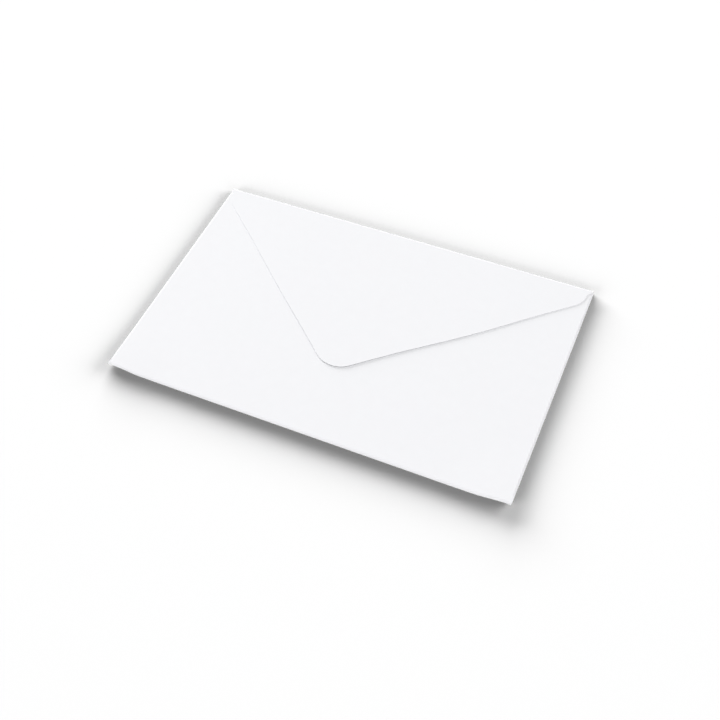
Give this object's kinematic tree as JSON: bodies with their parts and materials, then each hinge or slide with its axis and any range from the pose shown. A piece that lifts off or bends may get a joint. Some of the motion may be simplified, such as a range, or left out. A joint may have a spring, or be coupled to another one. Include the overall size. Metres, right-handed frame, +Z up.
{
  "type": "paper envelope",
  "caption": "Flat rectangular paper envelope with a pointed, rounded seal flap folded down over its pocket.",
  "frame": {"origin": "middle of the envelope's footprint, on the surface that it lies on", "axes": "+X along the length, +Y towards the fold of the seal flap, +Z up, out of the flap side"},
  "size_m": [0.14, 0.09, 0.0016],
  "materials": {
    "paper": "matte"
  },
  "bodies": {
    "root": {"envelope": "paper"}
  },
  "joints": []
}
